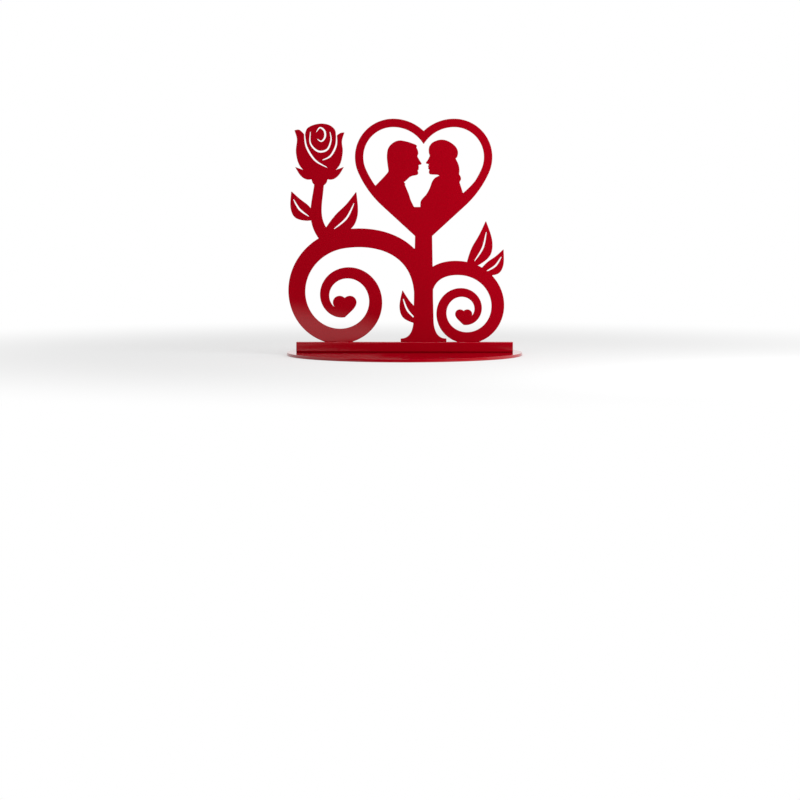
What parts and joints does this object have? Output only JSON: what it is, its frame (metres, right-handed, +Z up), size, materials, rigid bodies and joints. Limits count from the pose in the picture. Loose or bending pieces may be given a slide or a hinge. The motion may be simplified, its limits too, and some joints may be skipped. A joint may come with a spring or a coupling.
{
  "type": "metal cake topper",
  "caption": "Red powder-coated steel cake topper: a laser-cut sheet with a couple in a heart, scrolls and a rose, standing in a slotted bar on a thin round base plate.",
  "frame": {"origin": "centre of the base plate's underside, which stands on the cake or a table", "axes": "+Z up, +X to the right seen from the front, +Y away from the viewer; the sheet's front faces -Y"},
  "size_m": [0.118, 0.118, 0.1181],
  "materials": {
    "red_coat": "glossy red powder coat",
    "screw_steel": "plain stainless steel"
  },
  "bodies": {
    "root": {"ornament_sheet": "red_coat", "foot_bar": "red_coat", "base_plate": "red_coat", "plate_screw_1": "screw_steel", "plate_screw_2": "screw_steel", "grub_screw_1": "screw_steel", "grub_screw_2": "screw_steel", "grub_screw_3": "screw_steel"}
  },
  "joints": []
}
